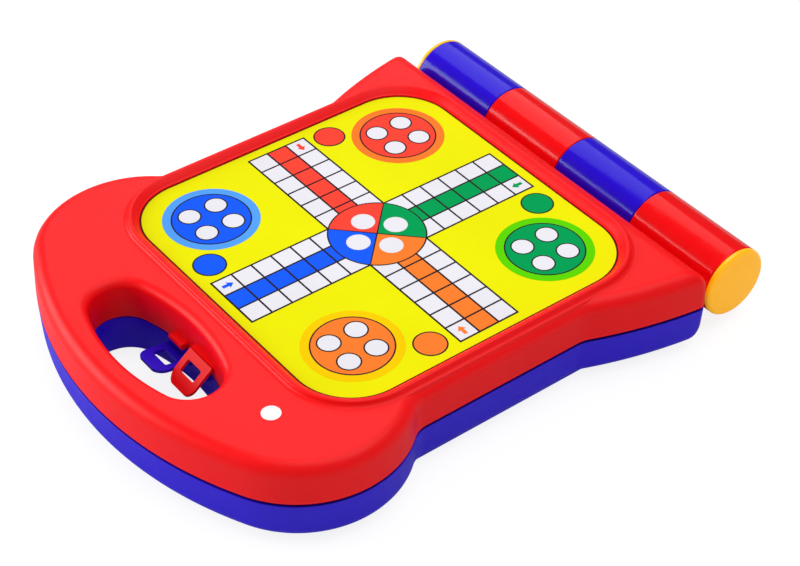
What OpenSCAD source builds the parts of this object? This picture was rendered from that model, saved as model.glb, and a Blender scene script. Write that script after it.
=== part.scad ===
// Folding ludo board box: two hinged half shells of one moulding, with a carry handle.
// Millimetres, +Z up. The closed box lies flat on its lower bead, hinge barrel at +Y, handle at -Y.
// The origin is under the middle of the whole outline.

/* [Shell outline] */
// Half width of the straight waist, at the parting plane
waist_half_w = 99.8; // [97.5:0.1:104]
// Half width over the two ears beside the hinge
ear_half_w = 116; // [113:0.1:118]
// Radius of the upright corner between ear and back wall
ear_r = 3.5; // [2:0.1:5]
// Radius of the long curve from the ear to the waist
flare_r = 240; // [180:1:400]
// Radius of the hollow corner where that curve meets the waist
flare_blend_r = 17; // [10:0.5:24]
// Where the straight waist ends on the hinge side, from the board centre
waist_top_y = 39; // [30:0.5:46]
// Half width over the two lobes beside the handle
lobe_half_w = 114.5; // [111:0.1:118]
// Radius of the lobes
lobe_r = 52; // [46:0.5:58]
// Centre line of the lobes, behind the board centre
lobe_back = 90; // [86:0.5:94]
// Radius of the hollow corner between waist and lobe
lobe_blend_r = 13; // [9:0.5:18]
// Radius of the broad end of the handle
end_r = 188; // [160:1:240]
// Back wall at the parting plane, from the board centre to the hinge side
back_y = 106; // [105.4:0.1:107.5]

/* [Shell section] */
// Height of one half from the parting plane to its deck
half_depth = 21.2; // [18:0.1:26]
// Wall thickness
wall_t = 2.2; // [1.8:0.1:2.6]
// Deck thickness
deck_t = 2.2; // [1.8:0.1:2.8]
// Radius of the rounded edge between deck and side wall
edge_r = 6.4; // [4:0.1:7]
// Radius of the broad round between deck and back wall
back_edge_r = 10.5; // [8:0.1:12]
// How far the wall leans in over its height
draft = 0.9; // [0.4:0.1:1.2]
// Gap that each half leaves at the parting plane
rim_gap = 0.35; // [0.15:0.05:0.45]
// Bevel on the outer edge of the rim
rim_bevel = 0.6; // [0.3:0.1:1]

/* [Play board] */
// Width and length of the printed card
board_w = 177; // [172:0.5:178.5]
// Corner radius of the card
board_r = 29.4; // [24:0.2:34]
// Thickness of the card
board_t = 0.6; // [0.4:0.1:0.8]
// Clearance round the card
board_gap = 0.3; // [0.2:0.05:0.5]
// Depth of the card's printed face below the deck
board_sink = 1.3; // [1:0.1:2]
// Thickness of the floor under the card
floor_t = 2; // [1.6:0.1:2.6]
// Width of the raised bead round the card
bead_w = 5.8; // [4.5:0.1:6.2]
// Height of the bead above the deck
bead_h = 2.6; // [1.6:0.1:3.4]
// Radius of the bead's rounded edges
bead_edge_r = 1.4; // [0.8:0.1:1.6]
// How far the bead's outer flank leans out at its foot
bead_lean = 1.2; // [0.4:0.1:1.6]

/* [Hand hole] */
// Length of the hole along the hinge direction
hole_w = 85.8; // [78:0.2:92]
// Width of the hole
hole_h = 38.8; // [35:0.2:40]
// Middle of the hole, behind the board centre
hole_back = 123.2; // [122:0.2:124]
// Radius of the hole's round ends
hole_end_r = 15; // [12:0.5:17]
// Radius of the rounded rim at the deck
hole_rim_r = 4.4; // [3:0.1:5]

/* [Hinge barrel] */
// Outer radius of the barrel
barrel_r = 18; // [16:0.1:19]
// Length over all four knuckles
barrel_l = 219.2; // [200:0.4:224]
// Barrel axis, from the board centre
barrel_y = 127.9; // [127.5:0.1:132]
// Number of knuckles, shared by the two halves
knuckles = 4; // [2:2:8]
// Wall of a knuckle
knuckle_t = 3; // [2.4:0.1:4]
// Gap between neighbouring knuckles, and between knuckle and cap
knuckle_gap = 0.4; // [0.2:0.05:0.8]
// Radial running clearance of the tube in the knuckles
running_gap = 0.05; // [0.02:0.01:0.1]
// Wall of the hinge tube
tube_t = 1.8; // [1.2:0.1:2.4]
// Height of the straight rim of an end cap
cap_rim_t = 0.8; // [0.6:0.1:1.6]
// Radius of the cap's rounded edge
cap_edge_r = 2.4; // [1.2:0.1:3]
// Depth of the cap's spigot in the tube
cap_spigot_l = 8; // [5:0.5:12]
// How much rounder the valley before a knuckle is than the tightest round that fits it
valley_ease = 0.4; // [0.2:0.1:1.2]

/* [Latch] */
// Middle of the tongue and of the catch, either side of the centre line
latch_x = 10.2; // [9.4:0.1:11]
// Width of the tongue
latch_w = 17.6; // [13:0.2:18.4]
// Thickness of the tongue
latch_t = 2; // [1.5:0.1:2.4]
// How far the upper tongue stands out from the wall of the hole
latch_reach = 15.4; // [14:0.1:16.5]
// Height of the tongue's root above the parting plane
latch_root_h = 5.2; // [4:0.1:6.5]
// How far its tip reaches past the parting plane
latch_drop = 4.4; // [3:0.1:5.5]
// How much further the lower tongue is swung out, in degrees
lower_swing = 32; // [20:1:38]
// Radius of the tongue's tip corners
latch_tip_r = 4.6; // [2:0.1:5.5]
// Width of the window in the tongue
window_w = 10.6; // [8:0.2:11]
// Length of the window, seen from above
window_l = 4.8; // [3:0.1:5]
// Gap between the tongue's root and its seat
latch_gap = 0.3; // [0.2:0.05:0.4]
// Width of the catch
catch_w = 10.2; // [7:0.2:10.4]
// How far the catch stands out from the wall of the hole
catch_reach = 3.7; // [3:0.1:4.4]
// Height of the catch
catch_h = 3.2; // [2:0.1:3.4]
// Gap between the catch and the parting plane
catch_gap = 0.4; // [0.3:0.1:0.6]
// Bevel that leads the tongue over the catch
catch_bevel = 1; // [0.4:0.1:1.6]

/* [Blank sticker] */
// Radius of the round sticker on the deck
sticker_r = 4.4; // [3:0.1:6]
// Thickness of the sticker
sticker_t = 0.2; // [0.1:0.05:0.4]
// Sticker centre to the right of the centre line
sticker_x = 70.4; // [60:0.2:76]
// Sticker centre behind the board centre
sticker_back = 109.8; // [106:0.2:114]

/* [Hidden] */

red = "#e8141c";
blue = "#3a2fc8";
yellow = "#f2f200";
amber = "#f6b800";

// Outline centres and tangent angles, each arc touching the next
ear_c = [ear_half_w - ear_r, back_y - ear_r];
flare_blend_c = [waist_half_w + flare_blend_r, waist_top_y];
flare_c = meet(ear_c, flare_r - ear_r, flare_blend_c, flare_r + flare_blend_r);
flare_a = heading(flare_blend_c - flare_c);
lobe_c = [lobe_half_w - lobe_r, -lobe_back];
lobe_blend_x = waist_half_w + lobe_blend_r;
lobe_blend_c = [lobe_blend_x,
    lobe_c.y + leg(lobe_r + lobe_blend_r, lobe_blend_x - lobe_c.x)];
lobe_a = heading(lobe_blend_c - lobe_c);
end_c = [0, lobe_c.y + leg(end_r - lobe_r, lobe_c.x)];
end_a = heading(lobe_c - end_c);
end_y = end_c.y - end_r;

// Oval of the hand hole: two broad arcs and two round ends
hole_c = [0, -hole_back];
hole_end_x = hole_w / 2 - hole_end_r;
hole_side_r = (hole_end_x * hole_end_x + hole_h * hole_h / 4 - hole_end_r * hole_end_r)
    / (hole_h - 2 * hole_end_r);
hole_side_y = hole_side_r - hole_h / 2;
hole_a = heading([hole_end_x, hole_side_y]);
hole_wall_y = hole_c.y + hole_h / 2;

// Board recess and bead
recess_half = board_w / 2 + board_gap;
recess_r = board_r + board_gap;
recess_z = half_depth - board_sink - board_t;
bead_half = recess_half + bead_w;
bead_foot = 1.5;
edge_steps = 6;
back_steps = 2;
min_corner_r = 1.5;
bead_steps = 3;
cut = 1;

// Hinge
knuckle_l = barrel_l / knuckles;
bore_r = barrel_r - knuckle_t;
tube_r = bore_r - running_gap;
tube_bore_r = tube_r - tube_t;
back_edge_c = [back_y - draft / 2 - back_edge_r, half_depth - back_edge_r];
valley_r = (norm([barrel_y, 0] - back_edge_c) - barrel_r - back_edge_r) / 2 + valley_ease;
valley_c = meet([barrel_y, 0], barrel_r + valley_r, back_edge_c, back_edge_r + valley_r);
valley_a0 = heading(valley_c - back_edge_c) + 180;
valley_a1 = heading([barrel_y, 0] - valley_c) + 360;

// Latch: the seat is flat where the wall of the hole curves, and the tongue's root turns before it;
// the tongue bends a little beyond its window
seat_reach = hole_side_r - leg(hole_side_r, latch_x + latch_w / 2) + 0.2;
seat_half_h = 1.8;
root_y = hole_wall_y - seat_reach - latch_gap - latch_t / 2;
tip_y = hole_wall_y - latch_reach + latch_t / 2;
bend_y = root_y + (tip_y - root_y) * 0.55;
bend_z = latch_root_h - (latch_root_h + latch_drop) * 0.48;
window_y = root_y + (tip_y - root_y) * 0.42;

// Whole part: origin under the middle of the outline
part_y = -(barrel_y + barrel_r + end_y) / 2;
part_z = half_depth + bead_h;

// Plane geometry
function heading(v) = atan2(v.y, v.x);
function leg(hyp, side) = sqrt(hyp * hyp - side * side);
// Point at distance ra from a and rb from b, on the left of the line from b to a
function meet(a, ra, b, rb) =
    let (d = norm(a - b), u = (a - b) / d, t = (d * d + rb * rb - ra * ra) / (2 * d))
    b + t * u + leg(rb, t) * [-u.y, u.x];
function arc(c, r, a0, a1, n) = [for (i = [0:n]) let (a = a0 + (a1 - a0) * i / n) c + r * [cos(a), sin(a)]];
function tail(v) = [for (i = [1:len(v) - 1]) v[i]];

// Right side of the outline, drawn in by o, and by b at the back wall,
// from the hinge side to the middle of the handle end
function side_points(o, b) =
    let (r = max(ear_r - o, min_corner_r), y = back_y - b - r,
         c = [flare_c.x + leg(flare_r - o - r, y - flare_c.y), y], ear_a = heading(c - flare_c))
    concat(arc(c, r, 90, ear_a, 6),
    tail(arc(flare_c, flare_r - o, ear_a, flare_a, 5)),
    tail(arc(flare_blend_c, flare_blend_r + o, flare_a + 180, 180, 4)),
    arc(lobe_blend_c, lobe_blend_r + o, 180, lobe_a + 180, 5),
    tail(arc(lobe_c, lobe_r - o, lobe_a, end_a, 14)),
    tail(arc(end_c, end_r - o, end_a, -90, 8)));

// Closed ring of the outline at height z, clockwise from above
function outline_ring(o, b, z) =
    let (r = side_points(o, b), m = len(r) - 1)
    concat([for (p = r) [p.x, p.y, z]], [for (i = [m - 1:-1:0]) [-r[i].x, r[i].y, z]]);

// Ring of the hand hole, grown by g
function hole_ring(g, z) =
    let (e = [hole_end_x, hole_c.y], s = [0, hole_c.y - hole_side_y], n = [0, hole_c.y + hole_side_y],
         r = hole_end_r + g, b = hole_side_r + g)
    [for (p = concat(arc(s, b, 180 - hole_a, hole_a, 10), tail(arc(e, r, hole_a, -hole_a, 12)),
        tail(arc(n, b, -hole_a, hole_a - 180, 10)),
        tail(tail_off(arc([-e.x, e.y], r, hole_a - 180, -hole_a - 180, 12))))) [p.x, p.y, z]];
function tail_off(v) = [for (i = [0:len(v) - 2]) v[i]];

// Ring of a square with round corners, half width h
function square_ring(h, r, z) =
    [for (k = [0:3], p = arc([0, 0], r, 90 - 90 * k, -90 * k, 8))
        let (q = h - r, c = [[q, q], [q, -q], [-q, -q], [-q, q]][k]) [c.x + p.x, c.y + p.y, z]];

// Solid through a stack of like rings, lowest first; a mirrored outline takes its caps rung by rung
module loft(rings, rungs = false) {
    n = len(rings[0]);
    k = len(rings) - 1;
    m = (n - 1) / 2;
    ladder = rungs
        ? concat([for (i = [0:m - 2]) [i, i + 1, n - 2 - i, n - 1 - i]], [[m - 1, m, m + 1]])
        : [[for (i = [0:n - 1]) i]];
    sides = [for (r = [0:k - 1], i = [0:n - 1])
        [r * n + i, r * n + (i + 1) % n, (r + 1) * n + (i + 1) % n, (r + 1) * n + i]];
    floor_faces = [for (f = ladder) [for (i = [len(f) - 1:-1:0]) f[i]]];
    roof_faces = [for (f = ladder) [for (i = f) k * n + i]];
    polyhedron(points = [for (r = rings, p = r) p], faces = concat(sides, floor_faces, roof_faces));
}

// How far a rounded edge of radius r has drawn in at height z, below a deck at height top
function edge_inset(z, top, r) =
    let (s = max(0, z - top + r)) r - leg(r, s);

// Insets at side and back, with their height, up a drafted wall of thickness w and over its edges
function wall_steps(base, top, w) =
    let (r = edge_r - w, q = back_edge_r - w,
         low = [for (i = [0:back_steps - 1]) top - q + (q - r) * i / back_steps],
         high = [for (i = [0:edge_steps]) top - r + r * sin(90 * i / edge_steps)])
    [for (z = concat([base], low, high))
        let (o = w + draft * z / half_depth) [o + edge_inset(z, top, r), o + edge_inset(z, top, q), z]];

// Outside of one half, with the bevelled rim at the parting plane
module shell_form() {
    foot = rim_gap + rim_bevel;
    rim = [[rim_bevel, rim_bevel, rim_gap], [0, 0, foot]];
    loft([for (s = concat(rim, tail(wall_steps(foot, half_depth, 0)))) outline_ring(s[0], s[1], s[2])],
        rungs = true);
}

// Hollow of one half, round the tube that lines the hand hole and the floor that carries the card
module shell_hollow() {
    difference() {
        loft([for (s = wall_steps(-cut, half_depth - deck_t, wall_t)) outline_ring(s[0], s[1], s[2])],
            rungs = true);
        loft([hole_ring(wall_t, -2 * cut), hole_ring(wall_t, half_depth)]);
        loft([for (z = [recess_z - floor_t, half_depth]) square_ring(recess_half + floor_t,
            recess_r + floor_t, z)]);
    }
}

// Cutter for the hand hole with its rounded rim
module hole_cutter() {
    rim = [for (i = [0:edge_steps]) let (a = 90 * i / edge_steps)
        [hole_rim_r * (1 - cos(a)), half_depth - hole_rim_r + hole_rim_r * sin(a)]];
    steps = concat([[0, -cut]], rim, [[hole_rim_r, half_depth + cut]]);
    loft([for (s = steps) hole_ring(s[0], s[1])]);
}

// Rounded edge of the bead: how far it draws in, and at what height
function bead_rim() =
    [for (i = [0:bead_steps]) let (a = 90 * i / bead_steps)
        [bead_edge_r * (1 - cos(a)), half_depth + bead_h - bead_edge_r * (1 - sin(a))]];

// Raised bead round the board, and the recess inside it
module bead_form() {
    steps = concat([[-bead_lean, half_depth - bead_foot]], bead_rim());
    loft([for (s = steps) square_ring(bead_half - s[0], recess_r + bead_w - s[0], s[1])]);
}
module recess_cutter() {
    steps = concat([[0, recess_z]], bead_rim(), [[bead_edge_r, half_depth + bead_h + cut]]);
    loft([for (s = steps) square_ring(recess_half + s[0], recess_r + s[0], s[1])]);
}

// Every second knuckle belongs to this half, with the web that carries it
module knuckle_set() {
    for (i = [1:2:knuckles - 1]) {
        x = -barrel_l / 2 + i * knuckle_l + knuckle_gap / 2;
        l = knuckle_l - knuckle_gap;
        translate([x, 0, 0]) {
            translate([0, barrel_y, 0]) rotate([0, 90, 0]) cylinder(h = l, r = barrel_r, $fn = 96);
            rotate([90, 0, 90]) linear_extrude(l) polygon(concat([[barrel_y, rim_gap],
                [back_y - wall_t, rim_gap], [back_y - wall_t, half_depth - back_edge_r]],
                arc(valley_c, valley_r, valley_a0, valley_a1, 10)));
        }
    }
}
module barrel_bore() {
    translate([-barrel_l, barrel_y, 0]) rotate([0, 90, 0])
        cylinder(h = 2 * barrel_l, r = bore_r, $fn = 96);
}

// Seat for this half's own tongue, and catch for the other half's tongue
module latch_seat() {
    translate([latch_x - latch_w / 2, hole_wall_y - seat_reach, latch_root_h - seat_half_h])
        cube([latch_w, seat_reach + wall_t / 2, 2 * seat_half_h]);
}
module latch_catch() {
    y = hole_wall_y - catch_reach;
    translate([-latch_x - catch_w / 2, 0, 0]) rotate([90, 0, 90]) linear_extrude(catch_w)
        polygon([[hole_wall_y + wall_t / 2, catch_gap], [y + catch_bevel, catch_gap],
            [y, catch_gap + catch_bevel], [y, catch_gap + catch_h],
            [hole_wall_y + wall_t / 2, catch_gap + catch_h]]);
}

// One half, deck up, parting plane at z = 0
module half_shell() {
    difference() {
        union() {
            difference() {
                union() {
                    shell_form();
                    bead_form();
                }
                shell_hollow();
                hole_cutter();
                recess_cutter();
            }
            latch_seat();
            latch_catch();
            knuckle_set();
        }
        barrel_bore();
    }
}

// Sprung tongue with its window, in place on the half that it belongs to
module tongue() {
    r = latch_t / 2;
    x0 = latch_x - latch_w / 2;
    difference() {
        intersection() {
            translate([x0, 0, 0]) rotate([90, 0, 90]) linear_extrude(latch_w) {
                tongue_leg([root_y, latch_root_h], [bend_y, bend_z], r);
                tongue_leg([bend_y, bend_z], [tip_y, -latch_drop], r);
            }
            tongue_plan(x0);
        }
        translate([latch_x - window_w / 2, window_y - window_l / 2, -half_depth])
            cube([window_w, window_l, 2 * half_depth]);
    }
}
module swung_tongue(angle) {
    translate([0, root_y, latch_root_h]) rotate([-angle, 0, 0]) translate([0, -root_y, -latch_root_h])
        tongue();
}
module tongue_leg(a, b, r) {
    d = b - a;
    for (p = [a, b]) translate(p) circle(r, $fn = 32);
    translate(a) rotate(heading(d)) translate([0, -r]) square([norm(d), 2 * r]);
}
module tongue_plan(x0) {
    y0 = tip_y - latch_t / 2;
    translate([0, 0, -half_depth]) linear_extrude(2 * half_depth) {
        translate([x0, y0 + latch_tip_r]) square([latch_w, latch_reach + cut]);
        translate([x0 + latch_tip_r, y0]) square([latch_w - 2 * latch_tip_r, latch_reach + cut]);
        for (x = [x0 + latch_tip_r, x0 + latch_w - latch_tip_r])
            translate([x, y0 + latch_tip_r]) circle(latch_tip_r, $fn = 48);
    }
}

// Places a half-shell piece in the closed box: the lower half is the upper one turned over
module in_top() {
    translate([0, part_y, part_z]) children();
}
module in_bottom() {
    in_top() rotate([0, 180, 0]) children();
}

module bottom_shell() {
    color(blue) in_bottom() half_shell();
}
module top_shell() {
    color(red) in_top() half_shell();
}
module bottom_latch() {
    color(blue) in_bottom() swung_tongue(lower_swing);
}
module top_latch() {
    color(red) in_top() tongue();
}

// Printed card, bare here, lying on the floor of the upper recess
module ludo_board() {
    color(yellow) in_top()
        loft([for (z = [recess_z, recess_z + board_t]) square_ring(board_w / 2, board_r, z)]);
}

// Tube that the knuckles turn on
module hinge_tube() {
    color("silver") in_top() translate([-barrel_l / 2, barrel_y, 0]) rotate([0, 90, 0]) difference() {
        cylinder(h = barrel_l, r = tube_r, $fn = 96);
        translate([0, 0, -cut]) cylinder(h = barrel_l + 2 * cut, r = tube_bore_r, $fn = 96);
    }
}

// Cap on the barrel's end with a rounded edge, and a spigot pressed into the tube; it faces +Z
module barrel_cap() {
    plug_r = tube_bore_r - running_gap;
    flat_r = barrel_r - cap_edge_r;
    rotate_extrude($fn = 96) {
        square([barrel_r, cap_rim_t]);
        square([flat_r, cap_rim_t + cap_edge_r]);
        translate([plug_r - tube_t, -cap_spigot_l]) square([tube_t, cap_spigot_l + cap_rim_t / 2]);
        intersection() {
            translate([flat_r, cap_rim_t]) circle(cap_edge_r, $fn = 64);
            translate([flat_r, 0]) square([cap_edge_r, cap_rim_t + cap_edge_r]);
        }
    }
}
module placed_cap(side) {
    color(amber) in_top() translate([side * (barrel_l + knuckle_gap) / 2, barrel_y, 0])
        rotate([0, side * 90, 0]) barrel_cap();
}
module left_cap() {
    placed_cap(-1);
}
module right_cap() {
    placed_cap(1);
}

// Round white sticker on the deck, blank
module blank_sticker() {
    color("white") in_top() translate([sticker_x, -sticker_back, half_depth])
        cylinder(h = sticker_t, r = sticker_r, $fn = 64);
}

bottom_shell();
top_shell();
ludo_board();
hinge_tube();
left_cap();
right_cap();
top_latch();
bottom_latch();
blank_sticker();
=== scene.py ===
import math

import bmesh
import bpy
from mathutils import Matrix, Vector
from mathutils.geometry import delaunay_2d_cdt

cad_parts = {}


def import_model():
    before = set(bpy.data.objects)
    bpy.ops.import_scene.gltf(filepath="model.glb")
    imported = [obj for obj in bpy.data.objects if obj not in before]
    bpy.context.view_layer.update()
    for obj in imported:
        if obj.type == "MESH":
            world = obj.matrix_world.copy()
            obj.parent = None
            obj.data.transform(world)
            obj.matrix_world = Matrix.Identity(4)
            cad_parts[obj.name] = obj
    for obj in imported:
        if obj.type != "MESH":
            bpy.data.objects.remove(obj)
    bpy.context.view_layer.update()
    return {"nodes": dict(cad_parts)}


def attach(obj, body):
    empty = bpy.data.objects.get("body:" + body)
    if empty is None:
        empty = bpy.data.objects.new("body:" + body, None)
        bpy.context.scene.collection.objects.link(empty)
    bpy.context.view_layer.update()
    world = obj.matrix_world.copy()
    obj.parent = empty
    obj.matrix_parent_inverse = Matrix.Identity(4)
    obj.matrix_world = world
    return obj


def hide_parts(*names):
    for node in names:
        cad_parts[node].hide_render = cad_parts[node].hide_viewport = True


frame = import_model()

MM = 0.001

# Camera, in millimetres and degrees: azimuth 0 looks along +Y
CAMERA_PLACE = (569.07, -430.95, 622.76)
CAMERA_AZIMUTH = 51.615
CAMERA_ELEVATION = 40.354
CAMERA_ROLL = 0.925
CAMERA_LENS = 88.2
CAMERA_SENSOR = 36.0

# Radiance and shades of the studio
SKY_LIGHT = 0.46
SKY_GLOSSY = 0.12
FLOOR_BOUNCE = 0.8
FLOOR_GLOSSY = 0.45
FLOOR_SHADE = 0.21
FLOOR_GLOW = 0.85

# Floor, in metres: half its width, and how far it lies under the object
FLOOR_HALF_W = 6.0
FLOOR_DROP = 0.0004

# Shell outline at the parting plane, in millimetres from the board's centre
WAIST_HALF_W = 99.8
EAR_HALF_W = 116.0
EAR_R = 4.6
MIN_CORNER_R = 3.0
FLARE_R = 240.0
FLARE_BLEND_R = 17.0
WAIST_TOP_Y = 39.0
LOBE_HALF_W = 114.5
LOBE_R = 52.0
LOBE_BACK = 90.0
LOBE_BLEND_R = 13.0
END_R = 188.0
BACK_Y = 106.0

# Shell section
HALF_DEPTH = 21.2
WALL_T = 2.2
DECK_T = 2.2
FLOOR_T = 2.0
EDGE_R = 6.4
BACK_EDGE_R = 10.5
DRAFT = 0.9
RIM_GAP = 0.35
RIM_BEVEL = 0.35
SEAM_DEPTH = 0.5
FLAT_MARGIN = 0.4

# Play board, card and recess
CELL = 11.0
BOARD_W = 177.0
BOARD_R = 29.4
BOARD_T = 0.6
BOARD_SINK = 1.3
BOARD_GAP = 0.3
CARD_EASE = 0.25
CARD_EDGE_W = 0.45

# Bead round the recess, its slope from crest to foot, and its skirt below the deck
BEAD_W = 5.8
BEAD_H = 2.6
BEAD_EDGE_R = 1.4
BEAD_CREST_IN = 3.3
BEAD_FOOT_IN = 0.5
BEAD_FOOT_DROP = 0.7
BEAD_SKIRT_W = 2.3
TRAY_RISE = 0.6

# Hand hole
HOLE_W = 85.8
HOLE_H = 38.8
HOLE_BACK = 123.2
HOLE_END_R = 15.0
HOLE_RIM_R = 4.4

# Hinge barrel
BARREL_R = 18.0
BARREL_L = 219.2
BARREL_Y = 127.9
KNUCKLES = 4
KNUCKLE_T = 3.0
KNUCKLE_GAP = 0.4
KNUCKLE_BEVEL = 0.35
WEB_INSET = 0.1
VALLEY_EASE = 0.4
CAP_RIM_T = 0.8
CAP_EDGE_R = 2.4
CAP_DOME_H = 0.5
CAP_DOME_STEPS = 12
CAP_SPIGOT_R = 13.1
CAP_SPIGOT_L = 8.0
CAP_SPIGOT_T = 1.8
CAP_SPIGOT_EASE = 0.4
CAP_RIM_EASE = 0.25

# Latch, with ALONG and DOWN as shares of the tongue's reach and drop
LATCH_X = 10.2
LATCH_W = 17.6
LATCH_T = 2.0
LATCH_REACH = 15.4
LATCH_ROOT_H = 5.2
LATCH_DROP = 4.4
LOWER_SWING = 32.0
LATCH_TIP_R = 4.6
LATCH_GAP = 0.3
LATCH_EDGE_R = 0.35
LATCH_SHARP_A = 40
LATCH_BEND_ALONG = 0.55
LATCH_BEND_DOWN = 0.48
LATCH_BEND_SOFT = 0.5
LATCH_LEAN = 0.6
WINDOW_W = 10.6
WINDOW_L = 4.8
WINDOW_R = 0.7
WINDOW_EASE = 0.3
WINDOW_ALONG = 0.42
SEAT_HALF_H = 1.8
SEAT_EASE = 0.2
CATCH_W = 10.2
CATCH_REACH = 3.7
CATCH_H = 3.2
CATCH_GAP = 0.4
CATCH_BEVEL = 1.0
CATCH_EDGE_R = 0.4

# Where the middle point of a small round lies, as a share of the round
ROUND_SHARE = 0.3


def colour(red, green, blue):
    """Linear colour of an sRGB triple written 0 to 255."""
    def linear(value):
        part = value / 255
        return part / 12.92 if part <= 0.04045 else ((part + 0.055) / 1.055) ** 2.4
    return (linear(red), linear(green), linear(blue), 1.0)


# Plane geometry, in millimetres
def heading(x, y):
    return math.degrees(math.atan2(y, x))


def leg(hypotenuse, side):
    return math.sqrt(hypotenuse * hypotenuse - side * side)


def meet(a, ra, b, rb):
    """Point at distance ra from a and rb from b, on the left of the line from b to a."""
    dx, dy = a[0] - b[0], a[1] - b[1]
    d = math.hypot(dx, dy)
    ux, uy = dx / d, dy / d
    along = (d * d + rb * rb - ra * ra) / (2 * d)
    side = leg(rb, along)
    return (b[0] + along * ux - side * uy, b[1] + along * uy + side * ux)


def arc(centre, radius, start, end, steps):
    points = []
    for i in range(steps + 1):
        angle = math.radians(start + (end - start) * i / steps)
        points.append((centre[0] + radius * math.cos(angle), centre[1] + radius * math.sin(angle)))
    return points


# Centres of the outline's arcs, each touching the next
EAR_C = (EAR_HALF_W - EAR_R, BACK_Y - EAR_R)
FLARE_BLEND_C = (WAIST_HALF_W + FLARE_BLEND_R, WAIST_TOP_Y)
FLARE_C = meet(EAR_C, FLARE_R - EAR_R, FLARE_BLEND_C, FLARE_R + FLARE_BLEND_R)
FLARE_A = heading(FLARE_BLEND_C[0] - FLARE_C[0], FLARE_BLEND_C[1] - FLARE_C[1])
LOBE_C = (LOBE_HALF_W - LOBE_R, -LOBE_BACK)
LOBE_BLEND_X = WAIST_HALF_W + LOBE_BLEND_R
LOBE_BLEND_C = (LOBE_BLEND_X, LOBE_C[1] + leg(LOBE_R + LOBE_BLEND_R, LOBE_BLEND_X - LOBE_C[0]))
LOBE_A = heading(LOBE_BLEND_C[0] - LOBE_C[0], LOBE_BLEND_C[1] - LOBE_C[1])
END_C = (0.0, LOBE_C[1] + leg(END_R - LOBE_R, LOBE_C[0]))
END_A = heading(LOBE_C[0] - END_C[0], LOBE_C[1] - END_C[1])
END_Y = END_C[1] - END_R

HOLE_END_X = HOLE_W / 2 - HOLE_END_R
HOLE_SIDE_R = (HOLE_END_X ** 2 + HOLE_H ** 2 / 4 - HOLE_END_R ** 2) / (HOLE_H - 2 * HOLE_END_R)
HOLE_SIDE_Y = HOLE_SIDE_R - HOLE_H / 2
HOLE_A = heading(HOLE_END_X, HOLE_SIDE_Y)
HOLE_WALL_Y = HOLE_H / 2 - HOLE_BACK

RECESS_HALF = BOARD_W / 2 + BOARD_GAP
RECESS_R = BOARD_R + BOARD_GAP
RECESS_Z = HALF_DEPTH - BOARD_SINK - BOARD_T
TRAY_HALF = RECESS_HALF + FLOOR_T
CEILING_Z = HALF_DEPTH - DECK_T

SEAT_REACH = HOLE_SIDE_R - leg(HOLE_SIDE_R, LATCH_X + LATCH_W / 2) + SEAT_EASE
LATCH_ROOT_Y = HOLE_WALL_Y - SEAT_REACH - LATCH_GAP - LATCH_T / 2
LATCH_TIP_Y = HOLE_WALL_Y - LATCH_REACH + LATCH_T / 2
LATCH_BEND_Y = LATCH_ROOT_Y + (LATCH_TIP_Y - LATCH_ROOT_Y) * LATCH_BEND_ALONG
LATCH_BEND_Z = LATCH_ROOT_H - (LATCH_ROOT_H + LATCH_DROP) * LATCH_BEND_DOWN
WINDOW_Y = LATCH_ROOT_Y + (LATCH_TIP_Y - LATCH_ROOT_Y) * WINDOW_ALONG

# Where the board's centre and the parting plane lie in the frame
PART_Y = -(BARREL_Y + BARREL_R + END_Y) / 2
PART_Z = HALF_DEPTH + BEAD_H
IN_TOP = Matrix.Translation((0, PART_Y * MM, PART_Z * MM)) @ Matrix.Scale(MM, 4)
IN_BOTTOM = IN_TOP @ Matrix.Rotation(math.pi, 4, "Y")


class Skin:
    """Points and faces of one mesh, in millimetres, with a material slot for each face."""

    def __init__(self):
        self.points = []
        self.faces = []
        self.slots = []

    def add(self, ring):
        first = len(self.points)
        self.points.extend(ring)
        return list(range(first, first + len(ring)))

    def face(self, corners, slot=0):
        self.faces.append(tuple(corners))
        self.slots.append(slot)

    def band(self, low, high, slot=0):
        """Quads between two closed rings of like count."""
        count = len(low)
        for i in range(count):
            j = (i + 1) % count
            self.face((low[i], low[j], high[j], high[i]), slot)

    def loft(self, rings, slot=0):
        """Bands through a stack of rings, which come back as lists of indices."""
        added = [self.add(ring) for ring in rings]
        for low, high in zip(added, added[1:]):
            self.band(low, high, slot)
        return added

    def fill(self, outer, holes=(), slot=0):
        """Flat triangles inside the ring outer and outside the rings in holes."""
        loops = [outer, *holes]
        order = [index for loop in loops for index in loop]
        flat = [Vector(self.points[index][:2]) for index in order]
        edges = []
        first = 0
        for loop in loops:
            count = len(loop)
            edges += [(first + i, first + (i + 1) % count) for i in range(count)]
            first += count
        _, _, triangles, origins, _, _ = delaunay_2d_cdt(flat, edges, [], 0, 1e-6)
        flats = [[Vector(self.points[index][:2]) for index in loop] for loop in loops]
        for triangle in triangles:
            corners = [order[origins[v][0]] for v in triangle]
            middle = sum((Vector(self.points[c][:2]) for c in corners), Vector((0, 0))) / 3
            if inside(middle, flats[0]) and not any(inside(middle, hole) for hole in flats[1:]):
                self.face(corners, slot)

    def block(self, points, slot=0):
        """Six-sided block from its low four corners and its high four corners."""
        self.loft([points[:4], points[4:]], slot)
        last = len(self.points)
        self.face(range(last - 8, last - 4), slot)
        self.face(range(last - 4, last), slot)


def inside(point, loop):
    """True where the point lies within the closed loop."""
    hit = False
    for a, b in zip(loop, loop[1:] + loop[:1]):
        if (a.y > point.y) != (b.y > point.y):
            if point.x < (b.x - a.x) * (point.y - a.y) / (b.y - a.y) + a.x:
                hit = not hit
    return hit


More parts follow.
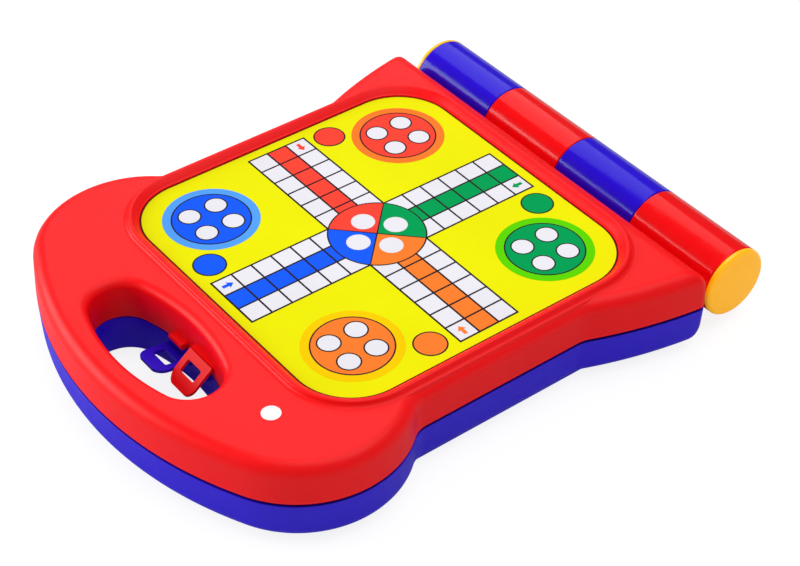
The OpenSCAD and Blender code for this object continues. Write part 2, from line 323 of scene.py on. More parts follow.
def build(name, skins, place, materials, body, stands_for, slot, sharp=34.0):
    """One object from some skins, placed in the frame and riding on a body."""
    mesh = bpy.data.meshes.new(name)
    sheet = bmesh.new()
    for skin in skins:
        corners = [sheet.verts.new(place @ Vector(p)) for p in skin.points]
        for indices, material in zip(skin.faces, skin.slots):
            face = sheet.faces.new([corners[i] for i in indices])
            face.material_index = material
            face.smooth = True
    bmesh.ops.recalc_face_normals(sheet, faces=sheet.faces)
    sheet.to_mesh(mesh)
    sheet.free()
    mesh.set_sharp_from_angle(angle=math.radians(sharp))
    for material in materials:
        mesh.materials.append(material)
    piece = bpy.data.objects.new(name, mesh)
    bpy.context.scene.collection.objects.link(piece)
    if stands_for:
        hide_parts(*stands_for)
    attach(piece, body)
    return piece


# Rings of the shell
def side_points(o, b):
    """Right side of the outline, drawn in by o, and by b at the back, from the hinge to the handle."""
    radius = max(EAR_R - o, MIN_CORNER_R)
    y = BACK_Y - b - radius
    centre = (FLARE_C[0] + leg(FLARE_R - o - radius, y - FLARE_C[1]), y)
    ear_a = heading(centre[0] - FLARE_C[0], centre[1] - FLARE_C[1])
    return (arc(centre, radius, 90, ear_a, 12)
            + arc(FLARE_C, FLARE_R - o, ear_a, FLARE_A, 16)[1:]
            + arc(FLARE_BLEND_C, FLARE_BLEND_R + o, FLARE_A + 180, 180, 8)[1:]
            + arc(LOBE_BLEND_C, LOBE_BLEND_R + o, 180, LOBE_A + 180, 12)
            + arc(LOBE_C, LOBE_R - o, LOBE_A, END_A, 44)[1:]
            + arc(END_C, END_R - o, END_A, -90, 24)[1:])


def outline_ring(o, b, z):
    right = side_points(o, b)
    left = [(-x, y) for x, y in reversed(right[:-1])]
    return [(x, y, z) for x, y in right + left]


def hole_ring(g, z):
    """Ring of the hand hole, grown by g."""
    y = -HOLE_BACK
    end, side = HOLE_END_R + g, HOLE_SIDE_R + g
    loop = (arc((0, y - HOLE_SIDE_Y), side, 180 - HOLE_A, HOLE_A, 20)
            + arc((HOLE_END_X, y), end, HOLE_A, -HOLE_A, 28)[1:]
            + arc((0, y + HOLE_SIDE_Y), side, -HOLE_A, HOLE_A - 180, 20)[1:]
            + arc((-HOLE_END_X, y), end, HOLE_A - 180, -HOLE_A - 180, 28)[1:-1])
    return [(px, py, z) for px, py in loop]


def square_ring(half, radius, z, steps=20):
    """Ring of a square with round corners."""
    straight = half - radius
    centres = [(straight, straight), (straight, -straight), (-straight, -straight), (-straight, straight)]
    loop = []
    for turn, centre in enumerate(centres):
        loop += arc(centre, radius, 90 - 90 * turn, -90 * turn, steps)
    return [(x, y, z) for x, y in loop]


def edge_inset(z, top, radius):
    """How far a rounded edge has drawn in at height z, below a deck at height top."""
    return radius - leg(radius, max(0.0, z - top + radius))


def wall_rings(base, top, thickness, angles):
    """Rings up a drafted wall and over its rounded edges, with one more on the flat beyond them."""
    side_r, back_r = EDGE_R - thickness, BACK_EDGE_R - thickness
    low = [top - back_r + (back_r - side_r) * k / BACK_STEPS for k in range(BACK_STEPS)]
    heights = [base] + low + [top - side_r * (1 - math.sin(math.radians(a))) for a in angles]
    rings = []
    for z in heights:
        drawn = thickness + DRAFT * z / HALF_DEPTH
        rings.append((drawn + edge_inset(z, top, side_r), drawn + edge_inset(z, top, back_r), z))
    o, b, z = rings[-1]
    return [outline_ring(*ring) for ring in rings + [(o + FLAT_MARGIN, b + FLAT_MARGIN, z)]]


def rounded(ring, out, top, radius, angles, side):
    """Rings over a round edge, from a wall at out to a deck at height top, outwards where side is 1."""
    rings = []
    for a in angles:
        turn = math.radians(a)
        rings.append(ring(out + side * radius * (1 - math.cos(turn)), top - radius * (1 - math.sin(turn))))
    return rings


def profile_rings(ring, steps, out, z):
    """Rings along a small profile, given as steps out and up from a corner."""
    return [ring(out + step_out, z + step_up) for step_out, step_up in steps]


# Small rounds and fillets, as steps out and up from a corner, in millimetres
HOLE_FOOT = ((0.3, 0), (0.08, 0.1), (0, 0.35))
CEILING_FILLET = ((0, -0.6), (0.2, -0.2), (0.6, 0), (1.0, 0))
TRAY_UNDER = ((-0.9, 0), (-0.5, 0), (-0.15, 0.15), (0, 0.5))
BEAD_FLANK = ((2.2, -0.9), (1.9, -0.1), (1.4, 0.06), (0.85, 0.28), (0.45, 0.62), (0.15, 1.0))
BEAD_CREST = ((0.7, 0), (0.25, -0.08), (-0.1, -0.28))
BEAD_FOOT = ((BEAD_FOOT_IN + 0.4, 0.45), (BEAD_FOOT_IN, 0.08), (0.2, 0), (0.05, -0.08), (0, -0.25))
RECESS_FILLET = ((0, 0.25), (-0.08, 0.08), (-0.25, 0), (-0.6, 0))

# Stations of round edges, in degrees, and the material slots of a shell; the last slot has painted shade,
# dark where a seam closes over it
RIM_ANGLES = (0, 12, 24, 36, 48, 60, 70, 80, 90)
CROWN_ANGLES = (0, 15, 30, 45, 60, 75, 90)
CAP_ANGLES = (12, 24, 36, 48, 60, 70, 78, 84)
TIP_ANGLES = (15, 30, 45, 60, 72, 82, 90)
FINE_ANGLES = (0, 12, 24, 36, 46, 54, 60, 66, 71, 75, 79, 82, 85, 87, 88.5, 90)
COARSE_ANGLES = (0, 18, 36, 54, 68, 79, 86, 90)
BACK_STEPS = 4
SATIN, GLOSS, INNER, SEAM_PAINTED_SHADE = 0, 1, 2, 3


def shell_skin():
    """Deck, walls, rim and hollow of one half, deck up, parting plane at zero."""
    skin = Skin()
    foot = RIM_GAP + SEAM_DEPTH + RIM_BEVEL
    bevel = []
    for a in (0, 30, 60):
        turn = math.radians(a)
        inset = RIM_BEVEL * (1 - math.sin(turn))
        bevel.append(outline_ring(inset, inset, foot - RIM_BEVEL * math.cos(turn)))
    outside = skin.loft(bevel + wall_rings(foot, HALF_DEPTH, 0, FINE_ANGLES), SATIN)
    within = skin.loft(wall_rings(RIM_GAP, CEILING_Z, WALL_T, COARSE_ANGLES), INNER)
    # Painted shade: the rim flat takes the seam finish, which darkens where the other half closes over it
    skin.band(within[0], outside[0], SEAM_PAINTED_SHADE)

    lining = profile_rings(hole_ring, HOLE_FOOT, 0, RIM_GAP)
    rim = rounded(hole_ring, 0, HALF_DEPTH, HOLE_RIM_R, RIM_ANGLES, 1)
    tube = skin.loft(lining + rim + [hole_ring(HOLE_RIM_R + FLAT_MARGIN, HALF_DEPTH)], SATIN)
    jacket = skin.loft([hole_ring(WALL_T, RIM_GAP)]
                       + profile_rings(hole_ring, CEILING_FILLET, WALL_T, CEILING_Z), INNER)
    skin.band(jacket[0], tube[0], SATIN)

    tray_r = RECESS_R + FLOOR_T
    well = skin.loft([square_ring(TRAY_HALF, tray_r, z) for z in (CEILING_Z, HALF_DEPTH)], INNER)
    skin.fill(outside[-1], [well[1], tube[-1]], SATIN)
    skin.fill(within[-1], [well[0], jacket[-1]], INNER)
    return skin


def tray_skin():
    """Raised bead, the recess inside it and the floor that carries the card."""
    skin = Skin()
    top = HALF_DEPTH + BEAD_H
    shelf = CEILING_Z + TRAY_RISE

    def ring(out, z):
        return square_ring(RECESS_HALF + out, RECESS_R + out, z)

    below = profile_rings(ring, TRAY_UNDER, FLOOR_T, RECESS_Z - FLOOR_T) + [ring(FLOOR_T, shelf)]
    flank = [ring(BEAD_W + BEAD_SKIRT_W, shelf)] + profile_rings(ring, BEAD_FLANK, BEAD_W, HALF_DEPTH)
    crown = rounded(ring, BEAD_W, top, BEAD_EDGE_R, CROWN_ANGLES, -1)
    middle = profile_rings(ring, BEAD_CREST, BEAD_CREST_IN, top)
    inner = profile_rings(ring, BEAD_FOOT, 0, HALF_DEPTH - BEAD_FOOT_DROP)
    bottom = profile_rings(ring, RECESS_FILLET, 0, RECESS_Z)
    rings = skin.loft(below + flank + crown + middle + inner, SATIN)
    # Painted shade: the recess floor and its fillet under the card take the seam finish, dark where the card
    # covers them
    foot = skin.loft(bottom, SEAM_PAINTED_SHADE)
    skin.band(rings[-1], foot[0], SATIN)
    skin.face(rings[0], INNER)
    skin.face(foot[-1], SEAM_PAINTED_SHADE)
    return skin


def barrel_ring(radius, x, steps=128):
    return [(x, BARREL_Y + ry, rz) for ry, rz in arc((0, 0), radius, 0, 360 - 360 / steps, steps - 1)]


def knuckle_skins():
    """Every second knuckle with its web, in the slots of this half."""
    skins = []
    length = BARREL_L / KNUCKLES
    edge = (BACK_Y - DRAFT / 2 - BACK_EDGE_R, HALF_DEPTH - BACK_EDGE_R)
    radius = (math.hypot(BARREL_Y - edge[0], edge[1]) - BARREL_R - BACK_EDGE_R) / 2 + VALLEY_EASE
    valley = meet((BARREL_Y, 0), BARREL_R + radius, edge, BACK_EDGE_R + radius)
    start = heading(valley[0] - edge[0], valley[1] - edge[1]) + 180
    end = heading(BARREL_Y - valley[0], -valley[1]) + 360
    web = ([(BARREL_Y, RIM_GAP), (BACK_Y - WALL_T / 2, RIM_GAP), (BACK_Y - WALL_T / 2, edge[1])]
           + arc(valley, radius, start, end, 32))
    ease = KNUCKLE_BEVEL * ROUND_SHARE
    end_rings = [(BARREL_R - KNUCKLE_T, 0), (BARREL_R - KNUCKLE_BEVEL, 0), (BARREL_R - ease, ease),
                 (BARREL_R, KNUCKLE_BEVEL), (BARREL_R, 2 * KNUCKLE_BEVEL)]
    for i in range(1, KNUCKLES, 2):
        low = -BARREL_L / 2 + i * length + KNUCKLE_GAP / 2
        high = low + length - KNUCKLE_GAP
        drum = Skin()
        rings = drum.loft([barrel_ring(r, low + x) for r, x in end_rings]
                          + [barrel_ring(r, high - x) for r, x in reversed(end_rings)], GLOSS)
        drum.band(rings[-1], rings[0], GLOSS)
        skins.append(drum)
        lug = Skin()
        ends = lug.loft([[(x, y, z) for y, z in web] for x in (low + WEB_INSET, high - WEB_INSET)], GLOSS)
        lug.face(ends[0], GLOSS)
        lug.face(ends[1], GLOSS)
        skins.append(lug)
    return skins


def latch_fixings():
    """Seat of this half's own tongue, and the catch for the other half's tongue."""
    skin = Skin()
    back = HOLE_WALL_Y + WALL_T / 2
    seat = HOLE_WALL_Y - SEAT_REACH
    x0, x1 = LATCH_X - LATCH_W / 2, LATCH_X + LATCH_W / 2
    z0, z1 = LATCH_ROOT_H - SEAT_HALF_H, LATCH_ROOT_H + SEAT_HALF_H
    skin.block([(x0, back, z0), (x1, back, z0), (x1, seat, z0), (x0, seat, z0),
                (x0, back, z1), (x1, back, z1), (x1, seat, z1), (x0, seat, z1)], SATIN)
    front = HOLE_WALL_Y - CATCH_REACH
    low, high = CATCH_GAP, CATCH_GAP + CATCH_H
    edge, ease = CATCH_EDGE_R, CATCH_EDGE_R * ROUND_SHARE
    profile = [(back, low), (front + CATCH_BEVEL, low), (front, low + CATCH_BEVEL), (front, high - edge),
               (front + ease, high - ease), (front + edge, high), (back, high)]
    x0, x1 = -LATCH_X - CATCH_W / 2, -LATCH_X + CATCH_W / 2
    rings = skin.loft([[(x, y, z) for y, z in profile] for x in (x0, x1)], SATIN)
    skin.face(rings[0], SATIN)
    skin.face(rings[1], SATIN)
    return skin


def tongue_skin():
    """Bent plate with round tip corners and a window, on the half that it belongs to."""
    skin = Skin()
    root, bend, tip = (LATCH_ROOT_Y, LATCH_ROOT_H), (LATCH_BEND_Y, LATCH_BEND_Z), (LATCH_TIP_Y, -LATCH_DROP)
    half_w, half_win, corner = LATCH_W / 2, WINDOW_W / 2, WINDOW_R
    tip_edge = tip[0] - LATCH_T / 2
    window_near, window_far = WINDOW_Y + WINDOW_L / 2, WINDOW_Y - WINDOW_L / 2

    def height(y):
        """Middle surface of the plate: two straight legs, rounded where they meet."""
        first = root[1] + (bend[1] - root[1]) * (y - root[0]) / (bend[0] - root[0])
        second = bend[1] + (tip[1] - bend[1]) * (y - bend[0]) / (tip[0] - bend[0])
        soft = LATCH_BEND_SOFT
        return -soft * math.log(math.exp(-first / soft) + math.exp(-second / soft))

    def slope(y):
        step = 0.01
        return (height(y + step) - height(y - step)) / (2 * step)

    stations = [root[0] + step for step in (LATCH_T / 2, 0.4, -0.3, -1.0)]
    stations += [window_near, window_near - WINDOW_EASE, window_near - corner]
    stations += [window_near - corner - (WINDOW_L - 2 * corner) * k / 4 for k in (1, 2, 3)]
    stations += [window_far + corner, window_far + WINDOW_EASE, window_far]
    stations += [tip_edge + LATCH_TIP_R * (1 - math.sin(math.radians(a))) for a in TIP_ANGLES]
    stations = sorted(set(round(y, 4) for y in stations), reverse=True)

    def outer_half(y):
        past = max(0.0, tip_edge + LATCH_TIP_R - y)
        return half_w - LATCH_TIP_R + leg(LATCH_TIP_R, min(past, LATCH_TIP_R))

    def window_half(y):
        if not window_far <= y <= window_near:
            return half_win - corner
        past = max(0.0, corner - min(window_near - y, y - window_far))
        return half_win - corner + leg(corner, min(past, corner))

    layers = []
    for side in (-1, 1):
        rows = []
        for y in stations:
            lean = slope(y)
            size = math.hypot(1, lean)
            ny, nz = -lean / size, 1 / size
            offset = side * LATCH_T / 2
            py, pz = y + ny * offset * LATCH_LEAN, height(y) + nz * offset
            xs = (-outer_half(y), -window_half(y), window_half(y), outer_half(y))
            rows.append(skin.add([(LATCH_X + x, py, pz) for x in xs]))
        layers.append(rows)
    under, over = layers
    open_rows = [i for i, y in enumerate(stations[:-1])
                 if window_far - 1e-3 <= stations[i + 1] and y <= window_near + 1e-3]
    for i in range(len(stations) - 1):
        for rows in layers:
            for k in (0, 1, 2):
                if k == 1 and i in open_rows:
                    continue
                skin.face((rows[i][k], rows[i][k + 1], rows[i + 1][k + 1], rows[i + 1][k]))
        for k in (0, 3):
            skin.face((under[i][k], under[i + 1][k], over[i + 1][k], over[i][k]))
        if i in open_rows:
            for k in (1, 2):
                skin.face((under[i][k], under[i + 1][k], over[i + 1][k], over[i][k]))
    for i in (0, len(stations) - 1):
        for k in (0, 1, 2):
            skin.face((under[i][k], under[i][k + 1], over[i][k + 1], over[i][k]))
    for i in (open_rows[0], open_rows[-1] + 1):
        skin.face((under[i][1], under[i][2], over[i][2], over[i][1]))
    return skin


def cap_skin():
    """Cap on the end of the barrel, facing +X, with its spigot."""
    skin = Skin()
    x0 = (BARREL_L + KNUCKLE_GAP) / 2
    flat_r = BARREL_R - CAP_EDGE_R
    profile = [(CAP_SPIGOT_R - CAP_SPIGOT_T, x0), (CAP_SPIGOT_R - CAP_SPIGOT_T, x0 - CAP_SPIGOT_L),
               (CAP_SPIGOT_R - CAP_SPIGOT_EASE, x0 - CAP_SPIGOT_L),
               (CAP_SPIGOT_R, x0 - CAP_SPIGOT_L + CAP_SPIGOT_EASE), (CAP_SPIGOT_R, x0),
               (BARREL_R - CAP_RIM_EASE, x0), (BARREL_R, x0 + CAP_RIM_EASE), (BARREL_R, x0 + CAP_RIM_T)]
    rise = CAP_EDGE_R - CAP_DOME_H
    for a in CAP_ANGLES:
        turn = math.radians(a)
        profile.append((flat_r + CAP_EDGE_R * math.cos(turn), x0 + CAP_RIM_T + rise * math.sin(turn)))
    face_x = x0 + CAP_RIM_T + CAP_EDGE_R - CAP_DOME_H
    for k in range(1, CAP_DOME_STEPS):
        r = flat_r * (1 - k / CAP_DOME_STEPS)
        profile.append((r, face_x + CAP_DOME_H * (1 - (r / flat_r) ** 2)))
    rings = skin.loft([barrel_ring(r, x, 96) for r, x in profile])
    skin.face(rings[0])
    skin.face(rings[-1])
    return skin


# Board print: flat shapes in cells from the board's centre, LAYER in millimetres, WEDGE_GAP_A in degrees
LINE = 0.033
CELL_LINE = 0.045
LAYER = 0.02
INK = {"line": 0, "white": 1, "red": 2, "green": 3, "blue": 4, "orange": 5,
       "red_halo": 6, "green_halo": 7, "blue_halo": 8, "orange_halo": 9}
ARMS = (("green", 0), ("orange", -90), ("blue", 180), ("red", 90))
# Ink, middle of the yard and middle of its starting disc
YARDS = (("red", -5.10, 5.07, -6.87, 2.50), ("green", 5.10, 5.07, 2.53, 6.85),
         ("blue", -5.08, -5.10, -2.55, -6.87), ("orange", 5.08, -5.10, 6.87, -2.55))
YARD_R = 1.72
HALO_R = 2.12
SPOT_R = 0.49
SPOT_OFF = 0.68
START_R = 0.70
CENTRE_R = 2.12
HOME_R = 0.52
HOME_OFF = 1.0
WEDGE_GAP_A = 0.7
ARM_HALF_W = 1.5
ARM_CELLS = 6
FRAME_START = 1.2
ARROW_X = 1.0
ARROW_STEM = 0.085
ARROW_HEAD = 0.2
ARROW_TAIL_Y = 7.26
ARROW_NECK_Y = 6.98
ARROW_TIP_Y = 6.72


def circle(x, y, radius, steps=96):
    return arc((x, y), radius, 0, 360 - 360 / steps, steps - 1)


class Print:
    """Flat inked shapes on the card."""

    def __init__(self):
        self.skin = Skin()
        self.face_z = RECESS_Z + BOARD_T

    def shape(self, points, ink, layer):
        z = self.face_z + LAYER * layer
        ring = self.skin.add([(x * CELL, y * CELL, z) for x, y in points])
        self.skin.face(ring, INK[ink])

    def disc(self, x, y, radius, ink, layer, line=True):
        if line:
            self.shape(circle(x, y, radius + LINE), "line", layer)
        self.shape(circle(x, y, radius - (LINE if line else 0)), ink, layer + 1)


def turned(points, angle):
    c, s = math.cos(math.radians(angle)), math.sin(math.radians(angle))
    return [(x * c - y * s, x * s + y * c) for x, y in points]


def print_skin():
    """Ludo cross, centre, yards and starting discs."""
    sheet = Print()
    stem, head = ARROW_STEM, ARROW_HEAD
    arrow = [(ARROW_X - stem, ARROW_TAIL_Y), (ARROW_X + stem, ARROW_TAIL_Y), (ARROW_X + stem, ARROW_NECK_Y),
             (ARROW_X + head, ARROW_NECK_Y), (ARROW_X, ARROW_TIP_Y), (ARROW_X - head, ARROW_NECK_Y),
             (ARROW_X - stem, ARROW_NECK_Y)]
    side, end = ARM_HALF_W + CELL_LINE, ARM_HALF_W + ARM_CELLS + CELL_LINE
    frame_box = [(-side, FRAME_START), (side, FRAME_START), (side, end), (-side, end)]
    for ink, angle in ARMS:
        sheet.shape(turned(frame_box, angle), "line", 1)
        for row in range(ARM_CELLS):
            for column in (-1, 0, 1):
                x0, x1 = column - 0.5 + CELL_LINE, column + 0.5 - CELL_LINE
                y0, y1 = ARM_HALF_W + row + CELL_LINE, ARM_HALF_W + row + 1 - CELL_LINE
                cell = [(x0, y0), (x1, y0), (x1, y1), (x0, y1)]
                sheet.shape(turned(cell, angle), ink if column == 0 else "white", 2)
        sheet.shape(turned(arrow, angle), ink, 3)
    sheet.shape(circle(0, 0, CENTRE_R + LINE), "line", 3)
    for ink, angle in ARMS:
        gap = LINE * math.sqrt(2)
        wedge = [(0, gap)] + arc((0, 0), CENTRE_R - LINE, 45 + WEDGE_GAP_A, 135 - WEDGE_GAP_A, 24)
        sheet.shape(turned(wedge, angle), ink, 4)
        x, y = turned([(0, HOME_OFF)], angle)[0]
        sheet.disc(x, y, HOME_R, "white", 5, line=False)
    for ink, x, y, start_x, start_y in YARDS:
        sheet.disc(x, y, HALO_R, ink + "_halo", 1, line=False)
        sheet.disc(x, y, YARD_R, ink, 3)
        for dx in (-SPOT_OFF, SPOT_OFF):
            for dy in (-SPOT_OFF, SPOT_OFF):
                sheet.disc(x + dx, y + dy, SPOT_R, "white", 5)
        sheet.disc(start_x, start_y, START_R, ink, 3)
    return sheet.skin


def card_skin():
    """Card with rounded corners, lying in the recess."""
    skin = Skin()
    top = RECESS_Z + BOARD_T
    stack = [(CARD_EASE, RECESS_Z), (CARD_EASE, top), (CARD_EASE + CARD_EDGE_W, top)]
    # Slot 1 colours the card's sides, its underside and a CARD_EDGE_W band round its top face dark brown, a
    # dark line along the card's edge
    rings = skin.loft([square_ring(BOARD_W / 2 - inset, BOARD_R - inset, z, 28) for inset, z in stack], 1)
    skin.face(rings[0], 1)
    skin.face(rings[-1], 0)
    return skin


# Tones, shares and finishes of the materials, with reaches and depths in metres
RED = (0.96, 0.0020, 0.0045, 1.0)
RED_DEEP = (0.92, 0.0016, 0.0040, 1.0)
BLUE = (0.022, 0.0020, 0.70, 1.0)
BLUE_DEEP = (0.019, 0.0016, 0.65, 1.0)
RED_SHEEN = 0.2
BLUE_SHEEN = 0.3
INK_SHADE = 0.9
# SEAM_SHADE and SEAM_REACH paint shade: the seam finish falls to this share of its deep tone where another
# surface lies within this reach
SEAM_SHADE = 0.04
SEAM_REACH = 0.004
# GLOSS_SHADE paints shade: the gloss copy of each plastic, on the knuckles and webs, is this much darker than
# the satin
GLOSS_SHADE = 0.9
AMBER = colour(252, 182, 4)
AMBER_DEEP = colour(248, 174, 2)
YELLOW = colour(242, 240, 4)
# Dark brown of the card's sides and underside, and of a thin band round its top edge
CARD_EDGE_DARK = colour(92, 40, 14)
CARD_EDGE_DARK_DEEP = colour(80, 34, 12)
TUBE = colour(205, 205, 200)
TUBE_DEEP = colour(196, 196, 190)
PAPER = colour(246, 246, 244)
PAPER_DEEP = colour(238, 238, 236)
NOISE_LOW = 0.3
NOISE_HIGH = 0.7
DRIFT_SCALE = 26.0
ROUGH_SCALE = 140.0
ROUGH_UNDER = 0.03
ROUGH_OVER = 0.04
GRAIN_DEPTH = 0.0001
WAVE_SCALE = 45.0
WAVE_DEPTH = 0.001


def shaded(tone, share):
    return tuple(share * part for part in tone[:3]) + (1.0,)


def new_material(name):
    material = bpy.data.materials.new(name)
    material.use_nodes = True
    return material, material.node_tree.nodes, material.node_tree.links


def noise(nodes, links, source, scale, detail=2.0):
    node = nodes.new("ShaderNodeTexNoise")
    node.inputs["Scale"].default_value = scale
    node.inputs["Detail"].default_value = detail
    links.new(source, node.inputs["Vector"])
    return node.outputs["Fac"]


def spread(nodes, links, source, low, high):
    """A value of about what noise gives, mapped to a range."""
    node = nodes.new("ShaderNodeMapRange")
    node.inputs["From Min"].default_value = NOISE_LOW
    node.inputs["From Max"].default_value = NOISE_HIGH
    node.inputs["To Min"].default_value = low
    node.inputs["To Max"].default_value = high
    links.new(source, node.inputs["Value"])
    return node.outputs["Result"]


def blend(nodes, links, low, high, share):
    """Colour between low and high, where each is a plain colour or another node's output."""
    node = nodes.new("ShaderNodeMix")
    node.data_type = "RGBA"
    for name, tone in (("A", low), ("B", high)):
        if isinstance(tone, tuple):
            node.inputs[name].default_value = tone
        else:
            links.new(tone, node.inputs[name])
    links.new(share, node.inputs["Factor"])
    return node.outputs["Result"]


def openness(nodes):
    """How open the space over a point is, within the reach of a narrow seam; the seam finish paints shade
    where it is low.
    """
    node = nodes.new("ShaderNodeAmbientOcclusion")
    node.samples = 8
    node.inputs["Distance"].default_value = SEAM_REACH
    return node.outputs["AO"]


def surface(name, tone, deep, roughness, grain=0.0, grain_scale=900.0, wave=0.0, specular=0.5, glow=0.0,
            paint_seam_shade=False):
    """Moulded plastic or printed card: a tone that drifts a little to a deeper one, with a fine grain."""
    material, nodes, links = new_material(name)
    shader = nodes["Principled BSDF"]
    place = nodes.new("ShaderNodeTexCoord").outputs["Object"]
    drift = spread(nodes, links, noise(nodes, links, place, DRIFT_SCALE, 3.0), 0.0, 1.0)
    body = blend(nodes, links, tone, deep, drift)
    # Painted shade: where the seam is closed over, the colour darkens towards a shaded copy of the deep tone
    if paint_seam_shade:
        lit = spread(nodes, links, openness(nodes), 0.0, 1.0)
        body = blend(nodes, links, shaded(deep, SEAM_SHADE), body, lit)
    links.new(body, shader.inputs["Base Color"])
    rough = spread(nodes, links, noise(nodes, links, place, ROUGH_SCALE, 4.0),
                   roughness - ROUGH_UNDER, roughness + ROUGH_OVER)
    links.new(rough, shader.inputs["Roughness"])
    shader.inputs["Specular IOR Level"].default_value = specular
    # Painted light: glow makes the surface give off light of its own colour, though it is no lamp
    links.new(body, shader.inputs["Emission Color"])
    shader.inputs["Emission Strength"].default_value = glow
    fine = nodes.new("ShaderNodeBump")
    fine.inputs["Strength"].default_value = grain
    fine.inputs["Distance"].default_value = GRAIN_DEPTH
    links.new(noise(nodes, links, place, grain_scale, 2.0), fine.inputs["Height"])
    broad = nodes.new("ShaderNodeBump")
    broad.inputs["Strength"].default_value = wave
    broad.inputs["Distance"].default_value = WAVE_DEPTH
    links.new(noise(nodes, links, place, WAVE_SCALE, 1.0), broad.inputs["Height"])
    links.new(fine.outputs["Normal"], broad.inputs["Normal"])
    links.new(broad.outputs["Normal"], shader.inputs["Normal"])
    return material


def plastics(name, tone, deep, sheen):
    """Satin, gloss and inner finishes of one plastic, the gloss one a darker copy with painted shade, and a
    finish with painted shade that is dark where a seam closes over it.
    """
    # Painted shade: the gloss finish is a darker copy of the same tones
    gloss_tone, gloss_deep = shaded(tone, GLOSS_SHADE), shaded(deep, GLOSS_SHADE)
    return [surface(name + "_satin", tone, deep, 0.38, grain=0.12, grain_scale=1400.0, wave=0.05,
                    specular=sheen),
            surface(name + "_gloss", gloss_tone, gloss_deep, 0.15, grain=0.03, grain_scale=1400.0, wave=0.05,
                    specular=0.26),
            surface(name + "_inner", tone, deep, 0.42, grain=0.16, wave=0.04, specular=0.2),
            surface(name + "_seam_painted_shade", tone, deep, 0.6, grain=0.1, specular=0.1, paint_seam_shade=True)]


def ink_materials():
    inks = {"line": (46, 36, 42), "white": (238, 236, 244), "red": (255, 72, 56), "green": (0, 162, 86),
            "blue": (24, 94, 255), "orange": (255, 130, 48), "red_halo": (255, 128, 46),
            "green_halo": (95, 218, 0), "blue_halo": (86, 164, 255), "orange_halo": (255, 210, 0)}
    materials = []
    for name in sorted(INK, key=INK.get):
        tone = shaded(colour(*inks[name]), INK_SHADE)
        deep = shaded(tone, 0.95)
        materials.append(surface("ink_" + name, tone, deep, 0.45, grain=0.04, grain_scale=2200.0,
                                 specular=0.015))
    return materials


# Object
def dress():
    red = plastics("red_plastic", RED, RED_DEEP, RED_SHEEN)
    blue = plastics("blue_plastic", BLUE, BLUE_DEEP, BLUE_SHEEN)
    # Painted light: the amber cap glows, brighter than the lamps alone would light it
    amber = surface("amber_plastic", AMBER, AMBER_DEEP, 0.22, grain=0.05, grain_scale=1400.0, wave=0.04,
                    specular=0.6, glow=0.34)
    yellow = shaded(YELLOW, INK_SHADE)
    card = surface("card_yellow", yellow, shaded(yellow, 0.96), 0.38, grain=0.05,
                   grain_scale=2200.0, specular=0.015)
    dark_edge = surface("card_dark_edge", CARD_EDGE_DARK, CARD_EDGE_DARK_DEEP, 0.6, grain=0.1, specular=0.1)
    halves = (("upper", IN_TOP, red, "top", "red_plastic"),
              ("lower", IN_BOTTOM, blue, "bottom", "blue_plastic"))
    swung = (Matrix.Translation((0, LATCH_ROOT_Y, LATCH_ROOT_H))
             @ Matrix.Rotation(math.radians(-LOWER_SWING), 4, "X")
             @ Matrix.Translation((0, -LATCH_ROOT_Y, -LATCH_ROOT_H)))
    for half, place, plastic, end, slot in halves:
        skins = [shell_skin(), tray_skin(), latch_fixings(), *knuckle_skins()]
        build(half + "_shell", skins, place, plastic, half + "_half", [end + "_shell"], slot)
        tongue_place = place if half == "upper" else place @ swung
        tongue = build(half + "_snap_tongue", [tongue_skin()], tongue_place, plastic, half + "_tongue",
                       [end + "_latch"], slot)
        soften(tongue, LATCH_EDGE_R * MM, LATCH_SHARP_A)
    build("play_card", [card_skin()], IN_TOP, [card, dark_edge], "upper_half", ["ludo_board"], "printed_card")
    build("play_card_print", [print_skin()], IN_TOP, ink_materials(), "upper_half", [], "printed_card")
    half_turn = Matrix.Rotation(math.pi, 4, "Z")
    across = Matrix.Translation((0, -2 * BARREL_Y, 0))
    for side, place in (("right", IN_TOP), ("left", IN_TOP @ half_turn @ across)):
        build(side + "_end_cap", [cap_skin()], place, [amber], "lower_half", [side + "_cap"], "amber_plastic")
    assign("hinge_tube", surface("tube_plastic", TUBE, TUBE_DEEP, 0.35, grain=0.05))
    assign("blank_sticker", surface("sticker_paper", PAPER, PAPER_DEEP, 0.5, grain=0.1, grain_scale=2600.0))


def soften(piece, width, limit):
    """Rounds a piece's edges that are sharper than the limit, in degrees."""
    bevel = piece.modifiers.new("rounded_edges", "BEVEL")
    bevel.width = width
    bevel.segments = 3
    bevel.limit_method = "ANGLE"
    bevel.angle_limit = math.radians(limit)
    bevel.harden_normals = True


def assign(node, material):
    """Gives a CAD node a procedural material."""
    for slot in frame["nodes"][node].material_slots:
        slot.material = material


# Studio
def area_light(name, place, aim, size, power):
    data = bpy.data.lights.new(name, "AREA")
    data.shape = "RECTANGLE"
    data.size, data.size_y = size
    data.energy = power
    lamp = bpy.data.objects.new(name, data)
    lamp.location = place
    lamp.rotation_euler = (Vector(aim) - Vector(place)).to_track_quat("-Z", "Y").to_euler()
    bpy.context.scene.collection.objects.link(lamp)


def diffuse(nodes, value):
    node = nodes.new("ShaderNodeBsdfDiffuse")
    node.inputs["Color"].default_value = (value, value, value, 1.0)
    return node.outputs["BSDF"]


def either(nodes, links, choice, usual, other):
    """The other shader where the choice holds, and the usual one elsewhere."""
    node = nodes.new("ShaderNodeMixShader")
    links.new(choice, node.inputs["Fac"])
    links.new(usual, node.inputs[1])
    links.new(other, node.inputs[2])
    return node.outputs["Shader"]


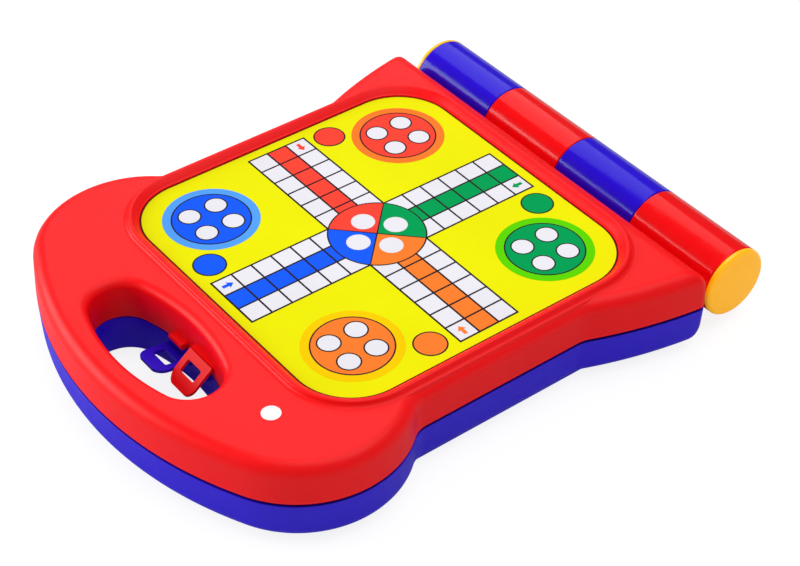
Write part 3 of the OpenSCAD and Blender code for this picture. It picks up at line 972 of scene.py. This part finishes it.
def floor():
    """Pale floor that shows white to the camera and keeps the object's soft shadow."""
    material, nodes, links = new_material("floor")
    nodes.remove(nodes["Principled BSDF"])
    path = nodes.new("ShaderNodeLightPath")
    glow = nodes.new("ShaderNodeEmission")
    glow.inputs["Color"].default_value = (1, 1, 1, 1)
    glow.inputs["Strength"].default_value = FLOOR_GLOW
    shown = nodes.new("ShaderNodeAddShader")
    links.new(diffuse(nodes, FLOOR_SHADE), shown.inputs[0])
    links.new(glow.outputs["Emission"], shown.inputs[1])
    seen, mirrored = path.outputs["Is Camera Ray"], path.outputs["Is Glossy Ray"]
    lit = either(nodes, links, seen, diffuse(nodes, FLOOR_BOUNCE), shown.outputs["Shader"])
    whole = either(nodes, links, mirrored, lit, diffuse(nodes, FLOOR_GLOSSY))
    links.new(whole, nodes["Material Output"].inputs["Surface"])
    mesh = bpy.data.meshes.new("floor")
    half = FLOOR_HALF_W
    corners = [(-half, -half, 0), (half, -half, 0), (half, half, 0), (-half, half, 0)]
    mesh.from_pydata(corners, [], [(0, 1, 2, 3)])
    mesh.materials.append(material)
    plane = bpy.data.objects.new("floor", mesh)
    plane.location.z = -FLOOR_DROP
    bpy.context.scene.collection.objects.link(plane)


def background(nodes, strength):
    node = nodes.new("ShaderNodeBackground")
    node.inputs["Color"].default_value = (1, 1, 1, 1)
    node.inputs["Strength"].default_value = strength
    return node.outputs["Background"]


def world():
    """White to the camera, softer as light on the object, and dim in its reflections."""
    sky = bpy.data.worlds.new("studio")
    bpy.context.scene.world = sky
    sky.use_nodes = True
    nodes, links = sky.node_tree.nodes, sky.node_tree.links
    nodes.remove(nodes["Background"])
    path = nodes.new("ShaderNodeLightPath")
    seen, mirrored = path.outputs["Is Camera Ray"], path.outputs["Is Glossy Ray"]
    lit = either(nodes, links, mirrored, background(nodes, SKY_LIGHT), background(nodes, SKY_GLOSSY))
    whole = either(nodes, links, seen, lit, background(nodes, 1.0))
    links.new(whole, nodes["World Output"].inputs["Surface"])


def camera():
    data = bpy.data.cameras.new("camera")
    data.lens = CAMERA_LENS
    data.sensor_width = CAMERA_SENSOR
    data.clip_start = 0.01
    eye = bpy.data.objects.new("camera", data)
    turn = (Matrix.Rotation(math.radians(CAMERA_AZIMUTH), 4, "Z")
            @ Matrix.Rotation(math.radians(90 - CAMERA_ELEVATION), 4, "X")
            @ Matrix.Rotation(math.radians(CAMERA_ROLL), 4, "Z"))
    eye.matrix_world = Matrix.Translation(Vector(CAMERA_PLACE) * MM) @ turn
    bpy.context.scene.collection.objects.link(eye)
    bpy.context.scene.camera = eye


def lights():
    """Broad softbox above, one low at the left for the handle end, and a dim one that the deck mirrors."""
    area_light("softbox_top", (0.22, 0.25, 1.3), (0, 0, 0.02), (1.2, 1.2), 8.9)
    area_light("softbox_left", (-1.05, -1.05, 0.5), (0, 0, 0.03), (1.3, 0.85), 18.0)
    area_light("softbox_back", (-1.15, 0.66, 1.2), (0, 0, 0.03), (1.3, 1.2), 6.5)


camera()
world()
floor()
lights()
dress()
bpy.context.scene.view_settings.view_transform = "Standard"
